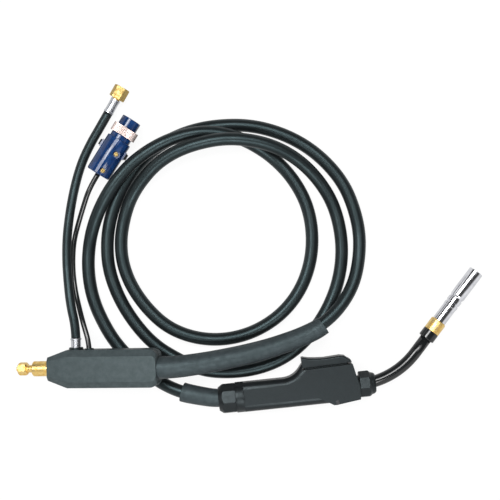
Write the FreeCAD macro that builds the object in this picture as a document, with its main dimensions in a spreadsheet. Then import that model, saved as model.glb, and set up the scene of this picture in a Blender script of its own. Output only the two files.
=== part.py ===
import FreeCAD, Part
import math
import os
import re
import Sketcher

Vector = FreeCAD.Vector
doc = FreeCAD.newDocument("WeldingTorch")

# ---------------------------------------------------------------- driving sizes, in mm and degrees
# Frame: the torch lies on its side. +X runs along the handle to the nozzle, +Y to the trigger side,
# +Z up from the surface that it lies on.
sizes = {
    # where the handle lies
    "handle_rear_x": 161.2, "handle_axis_y": 58.6, "cable_start": 11.2, "running_fit": 0.1,
    "body_gap": 0.3,
    # handle shells
    "handle_length": 166, "handle_half_height": 19.4, "handle_thickness": 36, "handle_wall": 2.6,
    "grip_edge_round": 9, "boss_rear_length": 17, "boss_rear_radius": 15.2, "boss_front_length": 14,
    "boss_front_radius": 12.4, "flange_length": 11, "flange_rise": 1, "sweep_start_back": 87.7,
    "sweep_end_back": 74.5, "hump_height": 36, "seam_rear_height": 28.4, "seam_front_height": 30,
    "sweep_round": 29, "heel_back": 41, "heel_length": 14, "heel_drop": 2.4,
    # nuts at the ends of the handle
    "rear_nut_length": 23, "rear_nut_radius": 20.6, "front_nut_length": 21.5, "front_nut_radius": 18.4,
    "nut_turn": 11,
    # trigger and switch
    "trigger_gap": 2.2, "trigger_length": 67, "trigger_height": 11, "trigger_width": 24,
    "trigger_edge_round": 2.5, "hook_height": 2.8, "skirt_width": 17, "skirt_depth": 9, "pivot_back": 66,
    "pivot_y": 23.5, "pin_radius": 1.5, "pin_grip": 4, "spring_wire": 0.9, "spring_length": 5,
    "switch_back": 29, "switch_length": 20, "switch_height": 7, "switch_width": 6.4,
    "holder_thickness": 1.5, "button_radius": 1.6, "lead_radius": 0.9,
    "screw_radius": 1.5, "screw_head_radius": 2.7, "screw_head_depth": 2.4,
    "slot_width": 0.9, "slot_depth": 0.9,
    # bent neck
    "neck_radius": 8, "neck_wall": 1.5, "conductor_bore": 3, "liner_radius": 2.4, "liner_bore": 1,
    "neck_bend": 108, "neck_angle": 47, "neck_straight": 24, "neck_inside": 52, "crimp_length": 56,
    "crimp_radius": 10,
    # front end, measured along the nozzle's axis from the end of the bare neck
    "collar_radius": 11, "collar_length": 12, "seat_radius": 10.8, "seat_length": 17,
    "nozzle_length": 83.5, "nozzle_rear_radius": 9.3, "nozzle_rear_length": 24, "nozzle_step_radius": 9.7,
    "nozzle_step_length": 18, "nozzle_radius": 10, "nozzle_bore": 8.2,
    "insulator_length": 20, "diffuser_radius": 6, "gas_hole_radius": 0.9, "gas_hole_count": 8,
    "tip_radius": 4, "tip_stem_radius": 2.9, "tip_stem_length": 10, "tip_length": 46, "tip_recess": 4.5,
    "wire_bore": 0.6,
    # main cable and its two sleeves
    "cable_radius": 8.7, "boot_radius": 12.8, "boot_length": 72, "boot_start": 14, "sleeve_rear_radius": 15,
    "sleeve_mouth_radius": 12.6, "sleeve_mouth_offset": 2.4, "sleeve_bore": 9, "sleeve_length": 240,
    "sleeve_inset": 14.5,
    # machine end casing
    "casing_length": 153, "casing_width": 50.6, "casing_thickness": 34,
    "casing_bevel_width": 8.5, "casing_bevel_depth": 6, "casing_taper": 28, "casing_nose_width": 31,
    "casing_nose_thickness": 26, "casing_corner": 11, "casing_end_bevel": 4, "cable_end": 45,
    "cavity_half_width": 19, "cavity_half_height": 13.5, "cavity_end": 58, "port_back": 37.8,
    "port_radius": 7, "port_flange_radius": 9.6, "port_flange_length": 3, "control_back": 19.3,
    # brass plug of the machine end
    "spigot_radius": 10.2, "spigot_length": 21.5, "spigot_neck_radius": 5, "spigot_neck_length": 9,
    "spigot_shank_radius": 8, "spigot_flange_radius": 11, "spigot_bore": 2.5, "liner_nut_radius": 8.9,
    "liner_nut_length": 12, "liner_nut_turn": 15, "nipple_radius": 3.6, "nipple_length": 3,
    # gas hose and its ends
    "hose_radius": 6.2, "hose_bore": 4, "ferrule_radius": 6.9, "lower_ferrule_length": 12.2,
    "upper_ferrule_length": 21, "gas_tail_radius": 5, "gas_nut_flats": 19, "gas_nut_length": 17,
    "gas_nut_gap": 1.2, "gas_thread_radius": 6.6, "gas_thread_length": 9, "tail_head_length": 2.4,
    "tail_reach": 3,
    # control cable and its plug
    "control_radius": 3.5, "plug_radius": 17, "plug_length": 54, "plug_wall": 3.5, "plug_rear_wall": 6,
    "lug_start": 33, "lug_length": 11, "lug_reach": 21, "lug_height": 5, "plug_collar_radius": 14.5,
    "plug_collar_length": 6.4, "ring_radius": 18, "ring_length": 11.8, "ring_teeth": 60,
    "ring_tooth_depth": 0.6,
    "plug_nose_radius": 13.5, "plug_nose_length": 13.2, "plug_nose_wall": 2, "plug_pin_radius": 0.8,
    "plug_pin_circle": 6, "plug_pin_count": 6,
}

# Places along the handle, worked out back from its front face.
places = {
    "sweep_start": "=handle_length - sweep_start_back",
    "sweep_end": "=handle_length - sweep_end_back",
    "heel_start": "=handle_length - heel_back",
    "pivot_x": "=handle_length - pivot_back",
    "switch_x": "=handle_length - switch_back",
}
named = sizes | places

sheet = doc.addObject("Spreadsheet::Sheet", "Dim")
for row, (name, value) in enumerate(named.items(), start=1):
    sheet.set(f"A{row}", name)
    sheet.set(f"B{row}", str(value))
    sheet.setAlias(f"B{row}", name)
doc.recompute()


def bound(expression):
    """An expression in size names, as one that reads the sheet's cells."""
    def cell(match):
        word = match.group(0)
        return f"Dim.{word}" if word in named else word
    return re.sub(r"[a-z][a-z_0-9]*", cell, expression)


def size(expression):
    """What an expression in size names comes to, read from the sheet."""
    return float(sheet.evalExpression(bound(expression)))


def at(x=0.0, y=0.0, z=0.0, yaw=0.0, pitch=0.0, roll=0.0):
    """A placement from a position and three turns; pitch lifts the local X axis."""
    return FreeCAD.Placement(Vector(x, y, z), FreeCAD.Rotation(yaw, -pitch, roll))


# ---------------------------------------------------------------- ways of making a piece
subparts = []
PART_AXES = {"x": (0, 90, 0), "y": (0, 0, -90), "z": (0, 0, 0)}


def keep(thing, label, place=None):
    """Names a finished sub-part and puts it where it belongs."""
    thing.Label = label
    if place is not None:
        thing.Placement = place
    subparts.append(thing)
    return thing


def outline_sketch(body, plane_role, corners):
    """A closed outline of straight edges; each corner is a pair of expressions."""
    sketch = body.newObject("Sketcher::SketchObject", "Outline")
    planes = [part for part in body.Origin.OriginFeatures if part.Role == plane_role]
    sketch.AttachmentSupport = (planes[0], [""])
    sketch.MapMode = "FlatFace"
    spots = [Vector(size(across), size(up), 0) for across, up in corners]
    count = len(spots)
    for index in range(count):
        sketch.addGeometry(Part.LineSegment(spots[index], spots[(index + 1) % count]), False)
    for index in range(count):
        sketch.addConstraint(Sketcher.Constraint("Coincident", index, 2, (index + 1) % count, 1))
    for index, (across, up) in enumerate(corners):
        ways = (("DistanceX", across, spots[index].x), ("DistanceY", up, spots[index].y))
        for kind, expression, value in ways:
            number = sketch.addConstraint(Sketcher.Constraint(kind, -1, 1, index, 1, value))
            sketch.setExpression(f"Constraints[{number}]", bound(expression))
    return sketch


def turned(name, corners):
    """A body turned about the X axis; each corner is its place along X and its radius."""
    body = doc.addObject("PartDesign::Body", name)
    sketch = outline_sketch(body, "XY_Plane", corners)
    turn = body.newObject("PartDesign::Revolution", "Turned")
    turn.Profile = sketch
    turn.ReferenceAxis = (sketch, ["H_Axis"])
    turn.Angle = 360
    return body


def padded(name, plane_role, corners, thickness, centred=True):
    """A body with a flat outline and a thickness, both sides of its plane unless told otherwise."""
    body = doc.addObject("PartDesign::Body", name)
    pad = body.newObject("PartDesign::Pad", "Thickness")
    pad.Profile = outline_sketch(body, plane_role, corners)
    pad.Midplane = centred
    pad.setExpression("Length", bound(thickness))
    return body


def rounded(body, radius, wanted):
    """Rounds the edges of a body for which wanted(edge) is true."""
    doc.recompute()
    base = body.Tip
    names = [f"Edge{number}" for number, edge in enumerate(base.Shape.Edges, start=1) if wanted(edge)]
    fillet = body.newObject("PartDesign::Fillet", "Rounded")
    fillet.Base = (base, names)
    fillet.setExpression("Radius", bound(radius))
    doc.recompute()
    return body


def box(low, high):
    """A Part::Box between two corners given as expressions."""
    block = doc.addObject("Part::Box", "Block")
    for side, axis, start, end in zip(("Length", "Width", "Height"), "xyz", low, high):
        block.setExpression(side, bound(f"({end}) - ({start})"))
        block.setExpression(f"Placement.Base.{axis}", bound(start))
    return block


def rod(radius, start, length, axis="x"):
    """A Part::Cylinder along an axis, from a start given as three expressions."""
    cylinder = doc.addObject("Part::Cylinder", "Rod")
    cylinder.setExpression("Radius", bound(radius))
    cylinder.setExpression("Height", bound(length))
    cylinder.Placement = FreeCAD.Placement(Vector(), FreeCAD.Rotation(*PART_AXES[axis]))
    for letter, expression in zip("xyz", start):
        cylinder.setExpression(f"Placement.Base.{letter}", bound(expression))
    return cylinder


def prism(sides, corner_radius, start, length, turn="0"):
    """A regular prism along X, turned about it."""
    many = doc.addObject("Part::Prism", "Prism")
    many.Polygon = sides
    many.setExpression("Circumradius", bound(corner_radius))
    many.setExpression("Height", bound(length))
    upright = FreeCAD.Rotation(size(turn), 0, 0)
    many.Placement = FreeCAD.Placement(Vector(), FreeCAD.Rotation(0, 90, 0) * upright)
    for letter, expression in zip("xyz", start):
        many.setExpression(f"Placement.Base.{letter}", bound(expression))
    return many


def joined(*pieces):
    """One solid from several."""
    fuse = doc.addObject("Part::MultiFuse", "Joined")
    fuse.Shapes = list(pieces)
    return fuse


def cut(base, *tools):
    """A base with the tools taken away."""
    result = doc.addObject("Part::Cut", "Cut")
    result.Base = base
    result.Tool = tools[0] if len(tools) == 1 else joined(*tools)
    return result


def alone(piece):
    """A single primitive as a sub-part that keeps its own bound position."""
    wrapper = doc.addObject("Part::Compound", "Alone")
    wrapper.Links = [piece]
    return wrapper


def shared(first, second):
    """What two solids have in common."""
    common = doc.addObject("Part::Common", "Shared")
    common.Base = first
    common.Tool = second
    return common


def from_shape(name, shape):
    """A piece whose shape is made by Part's own functions."""
    feature = doc.addObject("Part::Feature", name)
    feature.Shape = shape
    return feature


# ---------------------------------------------------------------- routes of cords and bent tubes
def route_edges(points):
    """Straight runs joined by tangent arcs, each arc as large as its two runs allow."""
    corners = [Vector(*point) for point in points]
    edges = []
    radii = []
    start = corners[0]
    for before, corner, after in zip(corners, corners[1:], corners[2:]):
        back = before - corner
        ahead = after - corner
        reach = 0.45 * min(back.Length, ahead.Length)
        back.normalize()
        ahead.normalize()
        half_turn = (math.pi - back.getAngle(ahead)) / 2
        radius = reach / math.tan(half_turn)
        inward = back + ahead
        inward.normalize()
        middle = corner + inward * (radius / math.cos(half_turn) - radius)
        edges.append(Part.LineSegment(start, corner + back * reach).toShape())
        edges.append(Part.Arc(corner + back * reach, middle, corner + ahead * reach).toShape())
        radii.append(radius)
        start = corner + ahead * reach
    edges.append(Part.LineSegment(start, corners[-1]).toShape())
    return edges, radii


def start_of(edge):
    return edge.valueAt(edge.FirstParameter), edge.tangentAt(edge.FirstParameter)


def end_of(edge):
    return edge.valueAt(edge.LastParameter), edge.tangentAt(edge.LastParameter)


def stretch(edges, begin, finish):
    """The part of a path between two lengths along it."""
    pieces = []
    passed = 0.0
    for edge in edges:
        low = max(begin - passed, 0.0)
        high = min(finish - passed, edge.Length)
        if high - low > 0.001:
            first, middle, last = (edge.valueAt(edge.getParameterByLength(reach))
                                   for reach in (low, (low + high) / 2, high))
            straight = isinstance(edge.Curve, Part.Line)
            curve = Part.LineSegment(first, last) if straight else Part.Arc(first, middle, last)
            pieces.append(curve.toShape())
        passed += edge.Length
    return pieces


def ring(radius, centre, direction):
    return Part.Wire(Part.makeCircle(radius, centre, direction))


def tube(edges, radius, bore=0.0):
    """A round solid along a path, with a bore if it has one."""
    wire = Part.Wire(edges)
    centre, direction = start_of(edges[0])
    solid = wire.makePipeShell([ring(radius, centre, direction)], True, False)
    if bore > 0:
        solid = solid.cut(wire.makePipeShell([ring(bore, centre, direction)], True, False))
    return solid


def facing(point, direction):
    """A placement whose X axis runs along a direction."""
    yaw = math.degrees(math.atan2(direction.y, direction.x))
    pitch = math.degrees(math.asin(max(-1.0, min(1.0, direction.z / direction.Length))))
    return at(point.x, point.y, point.z, yaw, pitch)


def report_cord(name, edges, radii, solid, radius):
    """Prints a cord's length, tightest radius, and volume against section times length."""
    length = sum(edge.Length for edge in edges)
    expected = math.pi * radius ** 2 * length
    print(f"{name}: {length:.0f} mm long, tightest radius {min(radii):.0f} mm,"
          f" volume {solid.Volume / expected:.4f} of section times length")


def least_gap(edges, radius, apart=60.0, step=3.0):
    """The least gap between a looped tube and itself, on points apart along it."""
    wire = Part.Wire(edges)
    count = int(wire.Length / step)
    spots = wire.discretize(Number=count + 1)
    skip = int(apart / step) + 1
    least = min((first - second).Length
                for index, first in enumerate(spots) for second in spots[index + skip:])
    return least - 2 * radius


# The main cable, from the crimp inside the handle to the crimp inside the machine end casing.
cable_points = [
    (size("cable_start - handle_rear_x"), -58.6, 20.6), (-192, -58.6, 20.6), (-216, -53.2, 18.8),
    (-240, -42, 13), (-265, -26, 8.8),
    (-289, -3, 8.8), (-311, 24, 8.8), (-326, 55, 8.8), (-337, 93, 8.8), (-339, 132, 8.8),
    (-334, 168, 8.8), (-324, 198, 15), (-307, 227, 22.5), (-287, 251, 26.4), (-262, 272, 26.8),
    (-230, 289, 26.8), (-196, 298, 26.6), (-163, 299, 25.5), (-130, 291, 22), (-101, 276, 15.5),
    (-76, 254, 9.5), (-56, 225, 8.8), (-42, 190, 8.8), (-38, 152, 8.8), (-45, 113, 8.8),
    (-63, 77, 8.8), (-91, 48, 8.8), (-128, 28, 8.8), (-168, 20, 8.8), (-208, 26, 8.8),
    (-242, 46, 8.8), (-266, 75, 8.8), (-284, 107, 8.8), (-293, 138, 8.8), (-293, 168, 8.8),
    (-286.4, 196, 8.8), (-275, 221, 12), (-257, 243, 20), (-234, 263, 29), (-206, 276, 36),
    (-173, 283, 40), (-138, 285, 41), (-104, 280, 39), (-73, 269, 32), (-44, 250, 21),
    (-20, 224, 12), (-4, 190, 8.8), (3, 153, 8.8), (0, 115, 8.8), (-12, 78, 8.8),
    (-32, 44, 8.8), (-59, 10, 8.8), (-92, -13, 8.8), (-129, -26, 8.8), (-168, -27, 8.8),
    (-203, -17, 8.8), (-233, 1, 8.8), (-260, 26, 8.8), (-283, 58, 8.8), (-301, 94, 8.8),
    (-312, 131, 8.8), (-313, 166, 8.8), (-306, 197, 8.8), (-291, 229, 8.8), (-272, 255, 8.8),
    (-247, 278, 8.8), (-217, 295, 8.8), (-180, 305, 8.8), (-142, 307, 8.8), (-103, 303, 8.8),
    (-66, 290, 8.8), (-33, 271, 8.8), (-6, 246, 8.8), (15, 215, 8.8), (26, 182, 8.8),
    (29, 145, 8.8), (23, 109, 11), (10, 76, 19), (-12, 48, 26.5), (-38, 26, 30),
    (-68, 15, 31.3), (-109, 5, 35), (-150, -1, 39.5), (-192, -5, 44), (-239, -7.2, 47.2),
    (-288, -3.5, 38.2),
]
# The gas hose, from the casing's side port to the brass nut.
hose_points = [
    (-366.16, 43.06, 23.29), (-364.9, 60, 23.29), (-368, 87, 21), (-369, 117, 16), (-369, 147, 12.5),
    (-366, 178, 12), (-358, 210, 11.5), (-348, 244, 8), (-336, 276, 6.4), (-320, 302, 7.6),
    (-306, 322, 10.4), (-293, 340, 11.2),
]
# The control cable, from inside the casing to the plug.
control_points = [
    (-350, 15.5, 26.6), (-348.5, 35, 26.6), (-353, 60, 21.5), (-358.5, 82, 13.5), (-362, 105, 6.8),
    (-363, 130, 4.2), (-362, 153, 3.7), (-358, 174, 3.7), (-350, 195, 5.5), (-340.5, 216, 12),
    (-328, 241.6, 18), (-314.4, 259, 18),
]

cable_edges, cable_radii = route_edges(cable_points)
hose_edges, hose_radii = route_edges(hose_points)
control_edges, control_radii = route_edges(control_points)

# ---------------------------------------------------------------- where each group lies
handle_place = at(-size("handle_rear_x"), -size("handle_axis_y"), size("rear_nut_radius"))
neck_end_x = size("handle_length + neck_straight * cos(neck_angle) + neck_bend * sin(neck_angle)")
neck_end_y = size("neck_straight * sin(neck_angle) + neck_bend * (1 - cos(neck_angle))")
front_place = handle_place.multiply(at(neck_end_x, neck_end_y, 0, size("neck_angle")))

# ---------------------------------------------------------------- handle shells
handle_side = padded("HandleSide", "XY_Plane", [
    ("flange_length", "-handle_half_height"),
    ("flange_length", "handle_half_height"),
    ("sweep_start", "handle_half_height"),
    ("sweep_end", "hump_height"),
    ("sweep_end", "seam_rear_height"),
    ("handle_length - 7", "seam_front_height"),
    ("handle_length", "-handle_half_height / 6"),
    ("handle_length - 1", "-handle_half_height + 1.6"),
    ("heel_start + heel_length - 6", "-handle_half_height - heel_drop"),
    ("heel_start + 4", "-handle_half_height - heel_drop"),
    ("heel_start", "-handle_half_height"),
], "handle_thickness")


def upright_at(x, y):
    """Picks the upright edge that stands at a given corner."""
    def wanted(edge):
        centre = edge.CenterOfMass
        return abs(centre.x - x) < 0.1 and abs(centre.y - y) < 0.1 and abs(centre.z) < 0.1
    return wanted


rounded(handle_side, "sweep_round", upright_at(size("sweep_start"), size("handle_half_height")))
rounded(handle_side, "sweep_round", upright_at(size("handle_length"), size("-handle_half_height / 6")))


def along_grip(edge):
    """Picks the long edges of both flat sides, up to the trigger's seat."""
    box_of = edge.BoundBox
    on_side = abs(abs(edge.CenterOfMass.z) - size("handle_thickness / 2")) < 0.01
    below = box_of.YMax < size("seam_rear_height")
    return on_side and below and box_of.XMax < size("sweep_end + 1") and box_of.XLength > 10 \
        or on_side and abs(edge.CenterOfMass.y + size("handle_half_height")) < 0.01


rounded(handle_side, "grip_edge_round", along_grip)

handle_form = joined(
    handle_side,
    rod("handle_half_height + flange_rise", ("0", "0", "0"), "flange_length"),
    rod("boss_rear_radius", ("-boss_rear_length", "0", "0"), "boss_rear_length + 1"),
    rod("boss_front_radius", ("handle_length - 2", "0", "0"), "boss_front_length + 2"),
)
handle_hollow = joined(
    rod("handle_thickness / 2 - handle_wall", ("flange_length", "0", "0"),
        "handle_length - 2 * flange_length"),
    box(("sweep_end + 3", "0", "-skirt_width / 2 - 2 * body_gap"),
        ("handle_length - 12", "hump_height + 2", "skirt_width / 2 + 2 * body_gap")),
    rod("boot_radius + running_fit", ("-boss_rear_length - 1", "0", "0"), "boss_rear_length"),
    rod("cable_radius + running_fit", ("-3", "0", "0"), "flange_length + 4"),
    rod("neck_radius + running_fit", ("handle_length - flange_length - 1", "0", "0"),
        "flange_length + 1"),
    rod("neck_radius + body_gap + neck_bend - sqrt(neck_bend^2 - boss_front_length^2)",
        ("handle_length", "0", "0"), "boss_front_length + 1"),
    rod("pin_radius", ("pivot_x", "pivot_y", "-skirt_width / 2 - pin_grip"),
        "skirt_width + 2 * pin_grip", "z"),
)
heel_spot = ("heel_start + 9", "-handle_half_height + 1")
under_spots = [(place, "handle_half_height - 5") for place in ("flange_length + 6", "sweep_start - 8")]
under = at(0, 0, 0, 0, 0, 180)


def screw(spot, head_z, length):
    """A slotted head and a shank that point down from the visible side."""
    x, y = spot
    head = rod("screw_head_radius", (x, y, f"{head_z} - screw_head_depth"), "screw_head_depth", "z")
    shank = rod("screw_radius", (x, y, f"{head_z} - ({length})"), f"({length}) - screw_head_depth", "z")
    slot = box((f"{x} - 2 * screw_head_radius", f"{y} - slot_width / 2", f"{head_z} - slot_depth"),
               (f"{x} + 2 * screw_head_radius", f"{y} + slot_width / 2", f"{head_z} + slot_depth"))
    return cut(joined(head, shank), slot)


def screw_seat(spot, head_z, length):
    """The hole that a screw sits in, open above its head."""
    x, y = spot
    return joined(
        rod("screw_head_radius + running_fit", (x, y, f"{head_z} - screw_head_depth"),
            "casing_thickness", "z"),
        rod("screw_radius", (x, y, f"{head_z} - ({length})"), f"{length}", "z"))


HANDLE_SCREW = ("handle_thickness / 2 - 1.5", "handle_thickness - 9")
under_seats = joined(*[screw_seat(spot, *HANDLE_SCREW) for spot in under_spots])
under_seats.Placement = under
under_screws = joined(*[screw(spot, *HANDLE_SCREW) for spot in under_spots])
under_screws.Placement = under
handle_shell = cut(handle_form, handle_hollow, screw_seat(heel_spot, *HANDLE_SCREW), under_seats)
BELOW = (("-handle_length", "-handle_length", "-handle_length"), ("2 * handle_length", "handle_length", "0"))
ABOVE = (("-handle_length", "-handle_length", "0"), ("2 * handle_length", "handle_length", "handle_length"))
keep(shared(handle_shell, box(*BELOW)), "handle_shell_lower", handle_place)
keep(shared(handle_shell, box(*ABOVE)), "handle_shell_upper", handle_place)
keep(joined(screw(heel_spot, *HANDLE_SCREW), under_screws), "handle_screws", handle_place)

# ---------------------------------------------------------------- nuts that hold the handle's ends
rear_blank = turned("RearNutBlank", [
    ("-rear_nut_length - body_gap", "0"),
    ("-rear_nut_length - body_gap", "rear_nut_radius - 5"),
    ("-rear_nut_length + 7", "rear_nut_radius + 0.2"),
    ("-3", "rear_nut_radius + 0.2"),
    ("-body_gap", "rear_nut_radius - 0.6"),
    ("-body_gap", "0"),
])
rear_nut = cut(
    shared(prism(8, "rear_nut_radius", ("-rear_nut_length - 1", "0", "0"), "rear_nut_length + 1",
                 "nut_turn"),
           rear_blank),
    rod("boss_rear_radius + running_fit", ("-boss_rear_length - body_gap", "0", "0"),
        "boss_rear_length + 1"),
    rod("boot_radius + body_gap", ("-rear_nut_length - 1", "0", "0"), "rear_nut_length"))
keep(rear_nut, "rear_handle_nut", handle_place)

front_blank = turned("FrontNutBlank", [
    ("handle_length + body_gap", "0"),
    ("handle_length + body_gap", "front_nut_radius + 0.2"),
    ("handle_length + 0.55 * front_nut_length", "front_nut_radius + 0.2"),
    ("handle_length + 0.75 * front_nut_length", "front_nut_radius - 3.6"),
    ("handle_length + 0.9 * front_nut_length", "front_nut_radius - 4.4"),
    ("handle_length + front_nut_length", "front_nut_radius - 6"),
    ("handle_length + front_nut_length", "0"),
])
front_nut = cut(
    shared(prism(8, "front_nut_radius", ("handle_length - 1", "0", "0"), "front_nut_length + 2",
                 "nut_turn"),
           front_blank),
    rod("boss_front_radius + running_fit", ("handle_length - 1", "0", "0"),
        "boss_front_length + 1 + body_gap"),
    rod("neck_radius + body_gap + neck_bend - sqrt(neck_bend^2 - front_nut_length^2)",
        ("handle_length", "0", "0"), "front_nut_length + 1"))
keep(front_nut, "front_handle_nut", handle_place)

# ---------------------------------------------------------------- trigger, its pin and spring
seat = "seam_rear_height + trigger_gap"
trigger_top = padded("TriggerTop", "XY_Plane", [
    ("sweep_end + 0.4", seat),
    ("sweep_end + 0.4", f"{seat} + trigger_height + hook_height"),
    ("sweep_end + 3", f"{seat} + trigger_height + hook_height"),
    ("sweep_end + 10", f"{seat} + trigger_height + 0.4 * hook_height"),
    ("sweep_end + 20", f"{seat} + trigger_height"),
    ("sweep_end + 0.45 * trigger_length", f"{seat} + trigger_height - 0.6"),
    ("sweep_end + 0.78 * trigger_length", f"{seat} + trigger_height + 0.6"),
    ("sweep_end + 0.87 * trigger_length", f"{seat} + trigger_height - 0.6"),
    ("sweep_end + 0.92 * trigger_length", f"{seat} + trigger_height - 3.4"),
    ("sweep_end + 0.98 * trigger_length", f"{seat} + trigger_height - 6"),
    ("sweep_end + trigger_length", "seam_front_height + trigger_gap"),
], "trigger_width")
trigger_rims = size("trigger_width / 2")
rounded(trigger_top, "trigger_edge_round",
        lambda edge: abs(abs(edge.CenterOfMass.z) - trigger_rims) < 0.01
        and edge.CenterOfMass.y > size(f"{seat} + trigger_height / 2") and edge.BoundBox.XLength > 1)
skirt_low = "seam_rear_height - skirt_depth"
trigger = cut(
    joined(trigger_top, box(("sweep_end + 4", skirt_low, "-skirt_width / 2"),
                            ("handle_length - 14", f"{seat} + 1.5", "skirt_width / 2"))),
    rod("pin_radius + running_fit", ("pivot_x", "pivot_y", "-trigger_width"), "2 * trigger_width", "z"),
    box(("sweep_end + 3", f"{skirt_low} - 1", "-spring_length / 2 - body_gap"),
        ("pivot_x + 5", "pivot_y + 4.5", "spring_length / 2 + body_gap")))
keep(trigger, "trigger", handle_place)
keep(alone(rod("pin_radius", ("pivot_x", "pivot_y", "-skirt_width / 2 - pin_grip"),
               "skirt_width + 2 * pin_grip", "z")), "trigger_pin", handle_place)
spring_coil = cut(
    rod("pin_radius + 2 * spring_wire", ("pivot_x", "pivot_y", "-spring_length / 2"), "spring_length", "z"),
    rod("pin_radius + running_fit", ("pivot_x", "pivot_y", "-spring_length"), "2 * spring_length", "z"))
keep(spring_coil, "trigger_spring", handle_place)

# ---------------------------------------------------------------- switch below the trigger
holder_low = "neck_radius + body_gap"
switch_low = f"{holder_low} + holder_thickness"
keep(alone(box(("switch_x - switch_length", holder_low, "-skirt_width / 2"),
               ("switch_x + switch_length * 0.7", switch_low, "skirt_width / 2"))),
     "switch_holder", handle_place)
button_bore = rod("button_radius + running_fit",
                  ("switch_x", f"{switch_low} + holder_thickness", "0"), "switch_height", "y")
keep(cut(box(("switch_x - switch_length / 2", switch_low, "-switch_width / 2"),
             ("switch_x + switch_length / 2", f"{switch_low} + switch_height", "switch_width / 2")),
         button_bore), "microswitch", handle_place)
button_low = f"{switch_low} + 2 * holder_thickness + running_fit"
keep(alone(rod("button_radius", ("switch_x", button_low, "0"),
               f"{skirt_low} - running_fit - ({button_low})", "y")), "switch_button", handle_place)
leads = [rod("lead_radius", ("flange_length + 4", f"{switch_low} + 3", f"{side} * 1.4"),
             "switch_x - switch_length / 2 - flange_length - 4", "x") for side in (-1, 1)]
keep(joined(*leads), "switch_leads", handle_place)

# ---------------------------------------------------------------- bent neck
def neck_path(start_x, front_reach):
    """The neck's centre line, from a place inside the handle to a reach past the bare end."""
    handle_end = size("handle_length")
    half = angle / 2
    bend_middle = Vector(handle_end + bend * math.sin(half), bend * (1 - math.cos(half)), 0)
    bend_end = Vector(handle_end + bend * math.sin(angle), bend * (1 - math.cos(angle)), 0)
    straight = size("neck_straight") + front_reach
    front_end = bend_end + Vector(math.cos(angle), math.sin(angle), 0) * straight
    return [
        Part.LineSegment(Vector(start_x, 0, 0), Vector(handle_end, 0, 0)).toShape(),
        Part.Arc(Vector(handle_end, 0, 0), bend_middle, bend_end).toShape(),
        Part.LineSegment(bend_end, front_end).toShape(),
    ]


bend = size("neck_bend")
angle = math.radians(size("neck_angle"))
sleeve_path = neck_path(size("handle_length - neck_inside"), size("collar_length - 4"))
crimp_end = size("cable_start + crimp_length")
conductor_reach = size("collar_length + seat_length - 5")
conductor_path = neck_path(crimp_end, conductor_reach)
keep(from_shape("NeckSleeve", tube(sleeve_path, size("neck_radius"), size("neck_radius - neck_wall"))),
     "neck_sleeve", handle_place)
keep(from_shape("NeckConductor", tube(conductor_path, size("neck_radius - neck_wall - running_fit / 2"),
                                      size("conductor_bore"))), "neck_conductor", handle_place)
keep(from_shape("NeckLiner", tube(neck_path(crimp_end, conductor_reach), size("liner_radius"),
                                  size("liner_bore"))), "wire_liner", handle_place)
crimp = turned("Crimp", [
    ("cable_start", "liner_bore"),
    ("cable_start", "crimp_radius"),
    ("cable_start + 0.5 * crimp_length", "crimp_radius"),
    ("cable_start + 0.5 * crimp_length + 3", "crimp_radius - 2"),
    ("cable_start + crimp_length", "crimp_radius - 2"),
    ("cable_start + crimp_length", "liner_bore"),
])
keep(crimp, "cable_crimp_fitting", handle_place)

# ---------------------------------------------------------------- front end, turned about its axis
collar = turned("Collar", [
    ("0", "neck_radius + running_fit / 2"),
    ("0", "collar_radius - 0.8"),
    ("0.8", "collar_radius"),
    ("collar_length - 0.4", "collar_radius"),
    ("collar_length", "collar_radius - 0.4"),
    ("collar_length", "neck_radius - neck_wall"),
    ("collar_length - 4", "neck_radius - neck_wall"),
    ("collar_length - 4", "neck_radius + running_fit / 2"),
])
keep(collar, "neck_collar", front_place)
seat_end = "(collar_length + seat_length)"
nozzle_seat = turned("NozzleSeat", [
    ("collar_length", "neck_radius - neck_wall"),
    ("collar_length", "seat_radius - 0.4"),
    ("collar_length + 0.4", "seat_radius"),
    (f"{seat_end} - 1", "seat_radius"),
    (seat_end, "seat_radius - 0.8"),
    (seat_end, "neck_radius - neck_wall"),
])
keep(nozzle_seat, "nozzle_seat", front_place)
insulator = turned("Insulator", [
    (seat_end, "diffuser_radius + running_fit / 2"),
    (seat_end, "nozzle_bore - running_fit"),
    (f"{seat_end} + insulator_length - 1", "nozzle_bore - running_fit"),
    (f"{seat_end} + insulator_length", "nozzle_bore - 1"),
    (f"{seat_end} + insulator_length", "diffuser_radius + running_fit / 2"),
])
keep(insulator, "nozzle_insulator", front_place)
mouth = f"({seat_end} + nozzle_length)"
tip_start = f"({mouth} - tip_recess - tip_length)"
diffuser_blank = turned("DiffuserBlank", [
    (f"{seat_end} - 5", "conductor_bore"),
    (f"{seat_end} - 5", "diffuser_radius"),
    (f"{tip_start} - 1.5", "diffuser_radius"),
    (tip_start, "diffuser_radius - 1"),
    (tip_start, "tip_stem_radius + running_fit / 2"),
    (f"{tip_start} - tip_stem_length - 1", "tip_stem_radius + running_fit / 2"),
    (f"{tip_start} - tip_stem_length - 1", "conductor_bore"),
])
gas_holes = []
for number in range(int(size("gas_hole_count"))):
    hole = doc.addObject("Part::Cylinder", "GasHole")
    hole.setExpression("Radius", bound("gas_hole_radius"))
    hole.setExpression("Height", bound("2 * diffuser_radius"))
    turn = FreeCAD.Rotation(Vector(1, 0, 0), 360 * number / size("gas_hole_count"))
    hole.Placement = FreeCAD.Placement(Vector(), turn)
    hole.setExpression("Placement.Base.x", bound(f"{seat_end} + insulator_length + 3"))
    gas_holes.append(hole)
keep(cut(diffuser_blank, *gas_holes), "gas_diffuser", front_place)
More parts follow.
